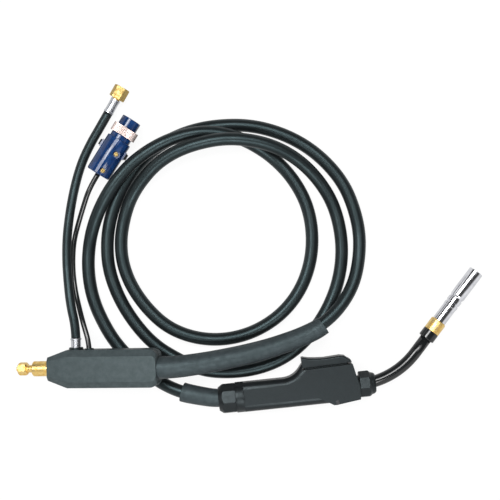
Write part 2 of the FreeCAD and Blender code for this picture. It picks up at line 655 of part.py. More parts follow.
tip = turned("ContactTip", [
    (f"{tip_start} - tip_stem_length", "wire_bore"),
    (f"{tip_start} - tip_stem_length", "tip_stem_radius"),
    (tip_start, "tip_stem_radius"),
    (tip_start, "tip_radius"),
    (f"{mouth} - tip_recess - 4", "tip_radius"),
    (f"{mouth} - tip_recess", "tip_radius - 1.5"),
    (f"{mouth} - tip_recess", "wire_bore"),
])
keep(tip, "contact_tip", front_place)
step = f"({seat_end} + nozzle_rear_length)"
step_end = f"({step} + nozzle_step_length)"
nozzle = turned("Nozzle", [
    (f"{seat_end} + body_gap / 2", "nozzle_bore"),
    (f"{seat_end} + body_gap / 2", "nozzle_rear_radius - 0.3"),
    (f"{seat_end} + 0.6", "nozzle_rear_radius"),
    (step, "nozzle_rear_radius"),
    (f"{step} + 0.5", "nozzle_step_radius"),
    (f"{step} + 4.5", "nozzle_step_radius"),
    (f"{step} + 5", "nozzle_rear_radius - 0.4"),
    (f"{step} + 7", "nozzle_rear_radius - 0.4"),
    (f"{step} + 7.5", "nozzle_step_radius"),
    (f"{step_end} - 5", "nozzle_step_radius"),
    (f"{step_end} - 4.5", "nozzle_rear_radius - 0.4"),
    (f"{step_end} - 2.5", "nozzle_rear_radius - 0.4"),
    (step_end, "nozzle_radius"),
    (f"{mouth} - 0.5", "nozzle_radius"),
    (mouth, "nozzle_radius - 0.5"),
    (mouth, "nozzle_bore"),
])
keep(nozzle, "gas_nozzle", front_place)

# ---------------------------------------------------------------- main cable and its two sleeves
cable_radius = size("cable_radius")
cable_solid = tube(cable_edges, cable_radius)
report_cord("main_cable", cable_edges, cable_radii, cable_solid, cable_radius)
print(f"main_cable: least gap to itself {least_gap(cable_edges, cable_radius):.2f} mm")
keep(from_shape("MainCable", cable_solid), "main_cable")

boot_path = stretch(cable_edges, size("boot_start"), size("boot_start + boot_length"))
keep(from_shape("Boot", tube(boot_path, size("boot_radius"), size("cable_radius + running_fit / 2"))),
     "handle_cable_boot")

cable_length = sum(edge.Length for edge in cable_edges)
sleeve_end = cable_length - (size("casing_length / 2") - size("cable_end")) + size("sleeve_inset")
end_path = stretch(cable_edges, sleeve_end - size("sleeve_length"), sleeve_end)
mouth_point, mouth_way = start_of(end_path[0])
rear_point, rear_way = end_of(end_path[-1])
outward = Vector(0, 0, 1).cross(mouth_way)
mouth_ring = ring(size("sleeve_mouth_radius"), mouth_point + outward * size("sleeve_mouth_offset"), mouth_way)
rear_ring = ring(size("sleeve_rear_radius"), rear_point, rear_way)
end_wire = Part.Wire(end_path)
sleeve_outside = end_wire.makePipeShell([mouth_ring, rear_ring], True, False)
sleeve_inside = end_wire.makePipeShell([ring(size("sleeve_bore"), mouth_point, mouth_way)], True, False)
keep(from_shape("EndSleeve", sleeve_outside.cut(sleeve_inside)), "machine_end_sleeve")

# ---------------------------------------------------------------- machine end casing
cable_stop, cable_way = end_of(cable_edges[-1])
casing_axis = cable_way * -1
casing_place = facing(cable_stop, casing_axis).multiply(at(-size("cable_end")))
half = "casing_length / 2"
casing_plan = padded("CasingPlan", "XY_Plane", [
    (f"-{half}", "-casing_nose_width / 2"),
    (f"-{half}", "casing_nose_width / 2"),
    (f"-{half} + casing_taper", "casing_width / 2"),
    (half, "casing_width / 2"),
    (half, "-casing_width / 2"),
    (f"-{half} + casing_taper", "-casing_width / 2"),
], "2 * casing_thickness")
for side in (-1, 1):
    rounded(casing_plan, "casing_corner", upright_at(size(half), side * size("casing_width / 2")))
casing_side = padded("CasingSide", "XZ_Plane", [
    (f"-{half}", "-casing_nose_thickness / 2"),
    (f"-{half}", "casing_nose_thickness / 2"),
    (f"-{half} + casing_taper", "casing_thickness / 2"),
    (f"{half} - casing_end_bevel", "casing_thickness / 2"),
    (half, "casing_thickness / 2 - casing_end_bevel"),
    (half, "-casing_thickness / 2 + casing_end_bevel"),
    (f"{half} - casing_end_bevel", "-casing_thickness / 2"),
    (f"-{half} + casing_taper", "-casing_thickness / 2"),
], "2 * casing_width")
wide = "casing_width / 2"
high = "casing_thickness / 2"
casing_section = padded("CasingSection", "YZ_Plane", [
    (f"-{wide}", f"-{high} + casing_bevel_depth"),
    (f"-{wide}", f"{high} - casing_bevel_depth"),
    (f"-{wide} + casing_bevel_width", high),
    (f"{wide} - casing_bevel_width", high),
    (wide, f"{high} - casing_bevel_depth"),
    (wide, f"-{high} + casing_bevel_depth"),
    (f"{wide} - casing_bevel_width", f"-{high}"),
    (f"-{wide} + casing_bevel_width", f"-{high}"),
], "2 * casing_length")
casing_form = shared(shared(casing_plan, casing_side), casing_section)
cavity_start = f"(-{half} + casing_taper + 2)"
casing_hollow = joined(
    box((cavity_start, "-cavity_half_width", "-cavity_half_height"),
        ("cavity_end", "cavity_half_width", "cavity_half_height")),
    rod("spigot_shank_radius + running_fit / 2", (f"-{half} - 1", "0", "0"), "casing_taper + 4"),
    rod("sleeve_rear_radius + running_fit", ("cavity_end - 1", "0", "0"), f"{half} - cavity_end + 2"),
    rod("port_radius - 0.5", ("-port_back", "0", "0"), "casing_width", "y"),
    rod("control_radius + 1.5", ("-control_back", "0", "0"), "casing_width", "y"))
casing_spots = [(f"-{half} + casing_taper - 5", f"{side} * (spigot_shank_radius + 5)") for side in (-1, 1)] \
    + [(f"{half} - 8", f"{side} * (sleeve_rear_radius + 3.2)") for side in (-1, 1)]
CASING_SCREW = ("casing_thickness / 2 - 1.5", "casing_thickness - 8")
casing_seats = [screw_seat(spot, *CASING_SCREW) for spot in casing_spots]
seat_group = joined(*casing_seats)
seat_group.Placement = under
casing_shell = cut(casing_form, casing_hollow, seat_group)
keep(shared(casing_shell, box(*BELOW)), "casing_shell_lower", casing_place)
keep(shared(casing_shell, box(*ABOVE)), "casing_shell_upper", casing_place)
keep(joined(*[screw(spot, *CASING_SCREW) for spot in casing_spots]), "casing_screws",
     casing_place.multiply(under))

# ---------------------------------------------------------------- brass plug of the machine end
front_face = f"(-{half} - body_gap - spigot_length)"
spigot = turned("Spigot", [
    (f"{front_face} - spigot_neck_length - liner_nut_length / 2", "nipple_radius + running_fit"),
    (f"{front_face} - spigot_neck_length - liner_nut_length / 2", "spigot_neck_radius"),
    (front_face, "spigot_neck_radius"),
    (front_face, "spigot_radius - 0.8"),
    (f"{front_face} + 0.8", "spigot_radius"),
    (f"-{half} - body_gap", "spigot_radius"),
    (f"-{half} - body_gap", "spigot_shank_radius"),
    (cavity_start, "spigot_shank_radius"),
    (cavity_start, "spigot_flange_radius"),
    (f"{cavity_start} + 4", "spigot_flange_radius"),
    (f"{cavity_start} + 4", "spigot_radius - 0.7"),
    ("cable_end", "spigot_radius - 0.7"),
    ("cable_end", "spigot_bore"),
    (f"{front_face} - nipple_length", "spigot_bore"),
    (f"{front_face} - nipple_length", "nipple_radius + running_fit"),
])
keep(spigot, "connector_spigot", casing_place)
nut_front = f"({front_face} - spigot_neck_length - liner_nut_length)"
liner_blank = turned("LinerNutBlank", [
    (nut_front, "0"),
    (nut_front, "liner_nut_radius - 1.6"),
    (f"{nut_front} + 1.6", "liner_nut_radius"),
    (f"{nut_front} + liner_nut_length - 1.6", "liner_nut_radius"),
    (f"{nut_front} + liner_nut_length", "liner_nut_radius - 1.6"),
    (f"{nut_front} + liner_nut_length", "0"),
])
liner_nut = cut(
    shared(prism(6, "liner_nut_radius", (f"{nut_front} - 1", "0", "0"), "liner_nut_length + 2",
                 "liner_nut_turn"),
           liner_blank),
    rod("nipple_radius + running_fit", (f"{nut_front} - 1", "0", "0"), "liner_nut_length + 2"),
    rod("spigot_neck_radius + running_fit / 2",
        (f"{nut_front} + liner_nut_length / 2 - running_fit", "0", "0"), "liner_nut_length"))
keep(liner_nut, "liner_nut", casing_place)
nipple = turned("Nipple", [
    (f"{nut_front} - nipple_length", "liner_bore"),
    (f"{nut_front} - nipple_length", "nipple_radius - 0.6"),
    (f"{nut_front} - nipple_length + 0.6", "nipple_radius"),
    (f"{front_face} - nipple_length", "nipple_radius"),
    (f"{front_face} - nipple_length", "liner_bore"),
])
keep(nipple, "liner_inlet_guide", casing_place)

# ---------------------------------------------------------------- side port, gas hose and its nut
port_place = casing_place.multiply(at(-size("port_back"), 0, 0, 90))
wall_face = "casing_width / 2"
grommet = turned("Grommet", [
    (f"{wall_face} - 3", "hose_bore - running_fit / 2"),
    (f"{wall_face} - 3", "port_radius - 0.5 - running_fit / 2"),
    (f"{wall_face} + running_fit", "port_radius - 0.5 - running_fit / 2"),
    (f"{wall_face} + running_fit", "port_flange_radius"),
    (f"{wall_face} + port_flange_length - 0.8", "port_flange_radius"),
    (f"{wall_face} + port_flange_length", "port_flange_radius - 0.8"),
    (f"{wall_face} + port_flange_length", "hose_bore - running_fit / 2"),
])
keep(grommet, "gas_port_grommet", port_place)
ferrule_face = f"({wall_face} + port_flange_length)"
hose_face = f"({ferrule_face} + lower_ferrule_length)"
lower_ferrule = turned("LowerFerrule", [
    (ferrule_face, "hose_bore - running_fit / 2"),
    (ferrule_face, "ferrule_radius - 0.3"),
    (f"{hose_face} - 2.6", "ferrule_radius - 0.3"),
    (f"{hose_face} - 2", "ferrule_radius + 0.5"),
    (f"{hose_face} - 0.5", "ferrule_radius + 0.5"),
    (hose_face, "ferrule_radius"),
    (hose_face, "hose_bore - running_fit / 2"),
])
keep(lower_ferrule, "lower_hose_ferrule", port_place)
stub = turned("GasStub", [
    ("spigot_radius - 0.7", "spigot_bore / 2"),
    ("spigot_radius - 0.7", "hose_bore - running_fit"),
    (f"{hose_face} + tail_reach", "hose_bore - running_fit"),
    (f"{hose_face} + tail_reach", "spigot_bore / 2"),
])
keep(stub, "gas_inlet_stub", port_place)
hose_solid = tube(hose_edges, size("hose_radius"), size("hose_bore"))
hose_start, hose_way = start_of(hose_edges[0])
port_end = port_place.multVec(Vector(size(hose_face), 0, 0))
report_cord("gas_hose", hose_edges, hose_radii, tube(hose_edges, size("hose_radius")), size("hose_radius"))
print(f"gas_hose: starts {(hose_start - port_end).Length:.2f} mm from its ferrule, at {port_end}")
keep(from_shape("GasHose", hose_solid), "gas_hose")

hose_place = facing(*end_of(hose_edges[-1]))
upper_ferrule = turned("UpperFerrule", [
    ("0", "hose_bore - running_fit / 2"),
    ("0", "ferrule_radius - 0.4"),
    ("0.5", "ferrule_radius"),
    ("2", "ferrule_radius"),
    ("3", "ferrule_radius - 0.5"),
    ("upper_ferrule_length - 4", "ferrule_radius - 0.7"),
    ("upper_ferrule_length - 3", "ferrule_radius - 0.2"),
    ("upper_ferrule_length - 0.5", "ferrule_radius - 0.2"),
    ("upper_ferrule_length", "ferrule_radius - 0.7"),
    ("upper_ferrule_length", "hose_bore - running_fit / 2"),
])
keep(upper_ferrule, "upper_hose_ferrule", hose_place)
nut_start = "(upper_ferrule_length + gas_nut_gap)"
thread_start = f"({nut_start} + gas_nut_length - gas_thread_length)"
seat_spot = f"({thread_start} - tail_head_length - body_gap)"
tail = turned("GasTail", [
    ("-tail_reach", "spigot_bore / 2"),
    ("-tail_reach", "hose_bore - running_fit"),
    ("upper_ferrule_length", "hose_bore - running_fit"),
    ("upper_ferrule_length", "gas_tail_radius"),
    (f"{seat_spot} + body_gap", "gas_tail_radius"),
    (f"{seat_spot} + body_gap", "gas_thread_radius - 0.6"),
    (thread_start, "gas_thread_radius - 0.6"),
    (thread_start, "spigot_bore / 2"),
])
keep(tail, "gas_tail", hose_place)
corner = "gas_nut_flats / 2 / cos(30)"
nut_blank = turned("GasNutBlank", [
    (nut_start, "0"),
    (nut_start, f"{corner} - 1"),
    (f"{nut_start} + 1", f"{corner} + 0.1"),
    (f"{nut_start} + gas_nut_length - 1", f"{corner} + 0.1"),
    (f"{nut_start} + gas_nut_length", f"{corner} - 1"),
    (f"{nut_start} + gas_nut_length", "0"),
])
gas_nut = cut(
    shared(prism(6, corner, (f"{nut_start} - 1", "0", "0"), "gas_nut_length + 2", "30"), nut_blank),
    rod("gas_thread_radius", (thread_start, "0", "0"), "gas_thread_length + 1"),
    rod("gas_thread_radius + 0.4", (seat_spot, "0", "0"), "tail_head_length + body_gap"),
    rod("gas_tail_radius + body_gap", (f"{nut_start} - 1", "0", "0"), "gas_nut_length"))
keep(gas_nut, "gas_nut", hose_place)

# ---------------------------------------------------------------- control cable
control_place = casing_place.multiply(at(-size("control_back"), 0, 0, 90))
control_grommet = turned("ControlGrommet", [
    (f"{wall_face} - 4", "control_radius + body_gap"),
    (f"{wall_face} - 4", "control_radius + 1.5 - running_fit / 2"),
    (f"{wall_face} + running_fit", "control_radius + 1.5 - running_fit / 2"),
    (f"{wall_face} + running_fit", "control_radius + 2.6"),
    (f"{wall_face} + 1.4", "control_radius + 2.2"),
    (f"{wall_face} + 1.4", "control_radius + body_gap"),
])
keep(control_grommet, "control_cable_grommet", control_place)
control_solid = tube(control_edges, size("control_radius"))
report_cord("control_cable", control_edges, control_radii, control_solid, size("control_radius"))
print("control grommet at", control_place.multVec(Vector(size(wall_face), 0, 0)))
keep(from_shape("ControlCable", control_solid), "control_cable")

# ---------------------------------------------------------------- control plug
plug_place = facing(*end_of(control_edges[-1]))
plug_blank = turned("PlugBlank", [
    ("0", "0"),
    ("0", "plug_radius - 1.5"),
    ("1.5", "plug_radius"),
    ("plug_length - 0.6", "plug_radius"),
    ("plug_length", "plug_radius - 0.6"),
    ("plug_length", "plug_radius - plug_wall"),
    ("plug_rear_wall", "plug_radius - plug_wall"),
    ("plug_rear_wall", "0"),
])
seat_sides = (("plug_radius - 1", "plug_radius + 1.6"), ("-plug_radius - 1.6", "-plug_radius + 1"))
lug_seats = [box(("lug_start", near, "-lug_height"), ("lug_start + lug_length", far, "lug_height"))
             for near, far in seat_sides]
plug_spots = [("lug_start + 2", "-plug_radius + 8.5"), ("4.6 + screw_head_radius", "-5")]
screw_head_z = "plug_radius - 3.6"
plug_screw_length = "7"
plug_seats = [
    joined(rod("screw_head_radius + 1.4", (x, y, f"{screw_head_z} - screw_head_depth"), "plug_radius", "z"),
           rod("screw_radius", (x, y, f"{screw_head_z} - {plug_screw_length}"), plug_screw_length, "z"))
    for x, y in plug_spots]
screw_bosses = [rod("screw_head_radius + 3", (x, y, "0"), "plug_radius - 4", "z") for x, y in plug_spots]
plug_form = joined(plug_blank, *lug_seats, *screw_bosses)
plug_shell = cut(plug_form, *plug_seats)
keep(shared(plug_shell, box(*BELOW)), "plug_shell_lower", plug_place)
keep(shared(plug_shell, box(*ABOVE)), "plug_shell_upper", plug_place)
keep(joined(*[screw(spot, screw_head_z, plug_screw_length) for spot in plug_spots]), "plug_screws",
     plug_place)
lug_sides = (("plug_radius + 1.6", "lug_reach"), ("-lug_reach", "-plug_radius - 1.6"))
lugs = [box(("lug_start + 1.5", near, "-lug_height + 1"),
            ("lug_start + lug_length - 1.5", far, "lug_height - 1")) for near, far in lug_sides]
keep(joined(*lugs), "plug_clamp_nuts", plug_place)
plug_collar = turned("PlugCollar", [
    ("plug_length", "plug_nose_radius - plug_nose_wall"),
    ("plug_length", "plug_collar_radius"),
    ("plug_length + plug_collar_length - 0.6", "plug_collar_radius"),
    ("plug_length + plug_collar_length", "plug_collar_radius - 0.6"),
    ("plug_length + plug_collar_length", "plug_nose_radius - plug_nose_wall"),
])
keep(plug_collar, "plug_collar", plug_place)
ring_start = "(plug_length + plug_collar_length + body_gap)"
nose_end = f"({ring_start} + ring_length + plug_nose_length)"
nose_blank = turned("PlugNoseBlank", [
    ("plug_length + plug_collar_length", "plug_nose_radius - plug_nose_wall"),
    ("plug_length + plug_collar_length", "plug_nose_radius - body_gap"),
    (f"{ring_start} + ring_length", "plug_nose_radius - body_gap"),
    (f"{ring_start} + ring_length", "plug_nose_radius"),
    (f"{nose_end} - 0.6", "plug_nose_radius"),
    (nose_end, "plug_nose_radius - 0.6"),
    (nose_end, "plug_nose_radius - plug_nose_wall"),
])
keyway = box((f"{ring_start} + ring_length", "2", "0"), (f"{nose_end} + 1", "4.4", "plug_radius"))
keep(cut(nose_blank, cut(keyway, rod("plug_nose_radius - 1", ("0", "0", "0"), "2 * plug_length"))),
     "plug_nose", plug_place)
insert_end = f"({nose_end} - 8)"
insert = turned("PlugInsert", [
    ("plug_length - 4", "0"),
    ("plug_length - 4", "plug_nose_radius - plug_nose_wall - running_fit / 2"),
    (insert_end, "plug_nose_radius - plug_nose_wall - running_fit / 2"),
    (insert_end, "0"),
])
pin_count = int(size("plug_pin_count"))
pin_spots = [(size("plug_pin_circle") * math.cos(2 * math.pi * number / pin_count),
              size("plug_pin_circle") * math.sin(2 * math.pi * number / pin_count))
             for number in range(pin_count)]
pins = [rod("plug_pin_radius", ("plug_length", f"{y:.3f}", f"{z:.3f}"), f"{nose_end} - 2 - plug_length")
        for y, z in pin_spots]
pin_holes = [rod("plug_pin_radius", ("plug_length", f"{y:.3f}", f"{z:.3f}"), "plug_length")
             for y, z in pin_spots]
keep(cut(insert, *pin_holes), "plug_insert", plug_place)
keep(joined(*pins), "plug_pins", plug_place)


def toothed_ring():
    """The coupling ring, with straight knurling all round."""
    outer = size("ring_radius")
    teeth = int(size("ring_teeth"))
    spots = []
    for number in range(2 * teeth):
        reach = outer if number % 2 else outer - size("ring_tooth_depth")
        turn = math.pi * number / teeth
        spots.append(Vector(size(ring_start), reach * math.cos(turn), reach * math.sin(turn)))
    spots.append(spots[0])
    length = Vector(size("ring_length"), 0, 0)
    blank = Part.Face(Part.makePolygon(spots)).extrude(length)
    bore = Part.makeCylinder(size("plug_nose_radius + body_gap"), size("plug_length"),
                             Vector(size("plug_length"), 0, 0), Vector(1, 0, 0))
    return blank.cut(bore)


keep(from_shape("CouplingRing", toothed_ring()), "coupling_ring", plug_place)

# ---------------------------------------------------------------- check and write
doc.recompute()
for thing in doc.Objects:
    if "Invalid" in thing.State or "Error" in thing.State:
        raise RuntimeError(f"{thing.Label} did not recompute: {thing.State}")
for thing in subparts:
    if thing.Shape.isNull() or not thing.Shape.isValid():
        raise RuntimeError(f"{thing.Label} has no valid shape")
os.makedirs("parts", exist_ok=True)
for thing in subparts:
    thing.Shape.exportStep(f"parts/{thing.Label}.step")
    print(f"{thing.Label}: {len(thing.Shape.Solids)} solid, {thing.Shape.Volume:.0f} mm3")
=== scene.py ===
import math

import bmesh
import bpy
from mathutils import Matrix, Vector


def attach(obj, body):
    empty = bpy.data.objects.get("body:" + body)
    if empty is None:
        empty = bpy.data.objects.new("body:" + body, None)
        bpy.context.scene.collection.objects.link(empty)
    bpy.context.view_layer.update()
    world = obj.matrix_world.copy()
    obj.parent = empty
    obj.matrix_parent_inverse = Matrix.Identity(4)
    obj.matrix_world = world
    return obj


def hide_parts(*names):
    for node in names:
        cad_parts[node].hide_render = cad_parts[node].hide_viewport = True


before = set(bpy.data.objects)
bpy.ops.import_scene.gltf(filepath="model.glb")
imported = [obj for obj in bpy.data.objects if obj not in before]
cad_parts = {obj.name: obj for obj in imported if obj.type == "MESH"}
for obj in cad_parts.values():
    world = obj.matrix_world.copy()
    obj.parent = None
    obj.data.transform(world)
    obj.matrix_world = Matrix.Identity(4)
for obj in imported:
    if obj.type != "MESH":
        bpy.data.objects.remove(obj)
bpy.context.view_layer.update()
print("frame loaded,", len(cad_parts), "nodes")

body = "torch_body"  # carries every piece that doesn't move
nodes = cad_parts


# helpers for objects, colours, shader nodes and materials
def addObject(name, data):
    item = bpy.data.objects.new(name, data)
    bpy.context.scene.collection.objects.link(item)
    return item


# a colour code in sRGB as the linear colour that shaders work in
def hexToLinear(code):
    channels = [int(code[i:i + 2], 16) / 255 for i in (1, 3, 5)]
    linear = [c / 12.92 if c <= 0.04045 else ((c + 0.055) / 1.055) ** 2.4 for c in channels]
    return (*linear, 1.0)


def addNode(tree, kind, settings=None, links=None):
    node = tree.nodes.new(kind)
    for name, value in (settings or {}).items():
        if isinstance(name, int) or name in node.inputs:
            node.inputs[name].default_value = value
        else:
            setattr(node, name, value)
    for name, source in (links or {}).items():
        tree.links.new(source, node.inputs[name])
    return node


def newMaterial(name, settings):
    material = bpy.data.materials.new(name)
    material.use_nodes = True
    tree = material.node_tree
    shader = tree.nodes["Principled BSDF"]
    for socket, value in settings.items():
        shader.inputs[socket].default_value = value
    return material, tree, shader


def perMillimetre(size):
    return 1000 / size  # noise scale that gives features of that size, in metres


# camera straight above the middle of the coil, turned a little
camera = {"place": (-0.122, 0.136, 1.5), "turn": -6, "lens": 79.4}
cameraData = bpy.data.cameras.new("overheadCamera")
cameraData.lens = camera["lens"]
cameraObject = addObject("overheadCamera", cameraData)
cameraObject.location = camera["place"]
cameraObject.rotation_euler = (0, 0, math.radians(camera["turn"]))
bpy.context.scene.camera = cameraObject

# routes of the cords, in metres, given near the solid model's; on the coil most points of the main
# cable lie a few millimetres outside the solid's
cableRoute = [
    (-0.15, -0.0586, 0.0206), (-0.184, -0.058, 0.0206), (-0.2085, -0.052, 0.0192),
    (-0.236, -0.0437, 0.0162), (-0.262, -0.029, 0.0092), (-0.2885, -0.0042, 0.0088),
    (-0.312, 0.0235, 0.0088), (-0.328, 0.054, 0.0088), (-0.3405, 0.092, 0.0088), (-0.343, 0.132, 0.0088),
    (-0.337, 0.169, 0.0088), (-0.325, 0.199, 0.015), (-0.3075, 0.227, 0.0225), (-0.287, 0.251, 0.0264),
    (-0.262, 0.272, 0.0268), (-0.23, 0.289, 0.0268), (-0.196, 0.2985, 0.0266), (-0.163, 0.3, 0.0255),
    (-0.13, 0.292, 0.022), (-0.101, 0.276, 0.0155), (-0.0755, 0.2545, 0.0095), (-0.054, 0.226, 0.0088),
    (-0.039, 0.191, 0.0088), (-0.035, 0.152, 0.0088), (-0.0415, 0.112, 0.0088), (-0.0595, 0.0745, 0.0088),
    (-0.0885, 0.0445, 0.0088), (-0.127, 0.025, 0.0088), (-0.168, 0.0185, 0.0088), (-0.2085, 0.025, 0.0088),
    (-0.244, 0.0435, 0.0088), (-0.2695, 0.0725, 0.0088), (-0.2875, 0.1055, 0.0088),
    (-0.2955, 0.1375, 0.0088), (-0.2945, 0.168, 0.0088), (-0.287, 0.196, 0.0088), (-0.2755, 0.2215, 0.012),
    (-0.2575, 0.2435, 0.02), (-0.234, 0.2635, 0.029), (-0.206, 0.277, 0.036), (-0.173, 0.2845, 0.04),
    (-0.138, 0.2865, 0.041), (-0.104, 0.2805, 0.039), (-0.073, 0.269, 0.032), (-0.0445, 0.2495, 0.021),
    (-0.0215, 0.223, 0.012), (-0.0045, 0.19, 0.0088), (0.0025, 0.153, 0.0088), (0.0015, 0.115, 0.0088),
    (-0.009, 0.0765, 0.0088), (-0.0285, 0.041, 0.0088), (-0.057, 0.008, 0.0088),
    (-0.091, -0.0145, 0.0088), (-0.129, -0.0252, 0.0088), (-0.168, -0.0258, 0.0088),
    (-0.204, -0.019, 0.0088), (-0.235, -0.0005, 0.0088), (-0.2645, 0.022, 0.0088),
    (-0.2885, 0.055, 0.0088), (-0.306, 0.092, 0.0088), (-0.315, 0.1305, 0.0088), (-0.3135, 0.166, 0.0088),
    (-0.306, 0.197, 0.0088), (-0.2915, 0.2295, 0.0088), (-0.272, 0.255, 0.0088), (-0.2475, 0.2785, 0.0088),
    (-0.217, 0.2955, 0.0088), (-0.18, 0.306, 0.0088), (-0.142, 0.308, 0.0088), (-0.103, 0.3035, 0.0088),
    (-0.066, 0.29, 0.0088), (-0.034, 0.27, 0.0088), (-0.008, 0.2445, 0.0088), (0.0125, 0.2135, 0.0088),
    (0.023, 0.1815, 0.0088), (0.028, 0.145, 0.0088), (0.0235, 0.109, 0.011), (0.0115, 0.075, 0.019),
    (-0.0105, 0.0465, 0.0265), (-0.038, 0.026, 0.03), (-0.068, 0.0155, 0.0313), (-0.109, 0.005, 0.035),
    (-0.15, -0.001, 0.0395), (-0.192, -0.005, 0.044), (-0.239, -0.0072, 0.0472),
    (-0.288, -0.0035, 0.0382),
]
hoseRoute = [
    (-0.36616, 0.04306, 0.02329), (-0.3652, 0.06, 0.02329), (-0.369, 0.087, 0.021),
    (-0.37, 0.117, 0.016), (-0.3695, 0.147, 0.0125), (-0.366, 0.178, 0.012), (-0.359, 0.21, 0.0115),
    (-0.3495, 0.2445, 0.008), (-0.337, 0.2765, 0.0064), (-0.321, 0.3025, 0.0076),
    (-0.306, 0.322, 0.0104), (-0.293, 0.34, 0.0112),
]
controlRoute = [
    (-0.35, 0.0155, 0.0266), (-0.3487, 0.035, 0.0266), (-0.3545, 0.06, 0.0215),
    (-0.359, 0.082, 0.0135), (-0.363, 0.105, 0.0068), (-0.364, 0.13, 0.0042), (-0.362, 0.153, 0.0037),
    (-0.358, 0.174, 0.0037), (-0.35, 0.195, 0.0055), (-0.3402, 0.216, 0.012), (-0.328, 0.2416, 0.018),
    (-0.3144, 0.259, 0.018),
]


# the points of the smooth curve that a route draws
def splinePoints(name, route):
    curve = bpy.data.curves.new(name, "CURVE")
    curve.dimensions = "3D"
    spline = curve.splines.new("NURBS")
    spline.points.add(len(route) - 1)
    for point, place in zip(spline.points, route):
        point.co = (*place, 1)
    spline.order_u = 3
    spline.use_endpoint_u = True
    spline.resolution_u = 10  # steps between two points of the route
    holder = bpy.data.objects.new(name, curve)
    mesh = bpy.data.meshes.new_from_object(holder)
    points = [vertex.co.copy() for vertex in mesh.vertices]
    bpy.data.objects.remove(holder)
    bpy.data.curves.remove(curve)
    bpy.data.meshes.remove(mesh)
    return points


# a round tube along points, with its length in metres as the second texture coordinate; flare is
# what its radius gains by its far end
def sweepTube(name, points, radius, flare=0.0, sides=28):
    ways = [(after - before).normalized()
            for before, after in zip([points[0]] + points[:-1], points[1:] + [points[-1]])]
    side = ways[0].cross(Vector((0, 0, 1))).normalized()
    mesh = bpy.data.meshes.new(name)
    tube = bmesh.new()
    texture = tube.loops.layers.uv.new("alongCord")
    rings = []
    reaches = [0.0]
    for index, (point, way) in enumerate(zip(points, ways)):
        side = (side - way * side.dot(way)).normalized()
        up = way.cross(side)
        if index:
            reaches.append(reaches[-1] + (point - points[index - 1]).length)
        reach = radius + flare * index / (len(points) - 1)
        rings.append([tube.verts.new(point + (side * math.cos(turn) + up * math.sin(turn)) * reach)
                      for turn in (2 * math.pi * step / sides for step in range(sides))])
    for index, (first, second) in enumerate(zip(rings, rings[1:])):
        for step in range(sides):
            after = (step + 1) % sides
            face = tube.faces.new((first[step], first[after], second[after], second[step]))
            face.smooth = True
            corners = ((step, index), (step + 1, index), (step + 1, index + 1), (step, index + 1))
            for loop, (across, along) in zip(face.loops, corners):
                loop[texture].uv = (across / sides, reaches[along])
    tube.faces.new(list(reversed(rings[0])))
    tube.faces.new(rings[-1])
    bmesh.ops.recalc_face_normals(tube, faces=tube.faces)
    tube.to_mesh(mesh)
    tube.free()
    piece = addObject(name, mesh)
    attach(piece, body)
    return piece


# moulded and turned pieces have no sharp edges, so every edge sharper than this angle in degrees is
# rounded; corners nearer than mergeWithin, in metres, are joined first
rounding = {"mergeWithin": 0.00002, "segments": 3, "sharperThan": 24}


def softenEdges(piece, width):
    weld = piece.modifiers.new("joinedCorners", "WELD")
    weld.merge_threshold = rounding["mergeWithin"]
    edges = piece.modifiers.new("roundedEdges", "BEVEL")
    edges.width = width
    edges.segments = rounding["segments"]
    edges.limit_method = "ANGLE"
    edges.angle_limit = math.radians(rounding["sharperThan"])
    edges.harden_normals = True


# upper half of the machine end casing: a nose that tapers in width and height, and a raised panel with
# round corners, one wall thick
casingTop = {"half": 0.0765, "centreBack": 0.045, "wide": 0.0253, "noseWide": 0.0155, "taper": 0.028,
             "thick": 0.017, "noseThick": 0.013, "shoulder": 0.006, "sideBevel": 0.0085,
             "noseBevel": 0.0055, "endBevel": 0.0008, "noseInset": 0.0008, "corner": 0.011,
             "panelCorner": 0.0075, "cornerSteps": 8, "wall": 0.0024, "edge": 0.0013}


# the casing's own axes, from its middle: x towards the sleeve, y across and z up
def casingFrame():
    stop, before = Vector(cableRoute[-1]), Vector(cableRoute[-2])
    along = (before - stop).normalized()
    across = Vector((0, 0, 1)).cross(along).normalized()
    upward = along.cross(across)
    turn = Matrix((along, across, upward)).transposed().to_4x4()
    return Matrix.Translation(stop - along * casingTop["centreBack"]) @ turn


# one side from the nose to the round corner at the far end, then its mirror image back
def casingLoop(wide, noseWide, noseEnd, farEnd, corner):
    side = [(noseEnd, noseWide), (casingTop["taper"] - casingTop["half"], wide)]
    for step in range(casingTop["cornerSteps"] + 1):
        turn = math.pi / 2 * (1 - step / casingTop["cornerSteps"])
        side.append((farEnd - corner + corner * math.cos(turn), wide - corner + corner * math.sin(turn)))
    return side + [(x, -y) for x, y in reversed(side)]


# height of the top, which rises along the nose
def casingHeight(x):
    rise = min(1, max(0, (x + casingTop["half"]) / casingTop["taper"]))
    return casingTop["noseThick"] + (casingTop["thick"] - casingTop["noseThick"]) * rise


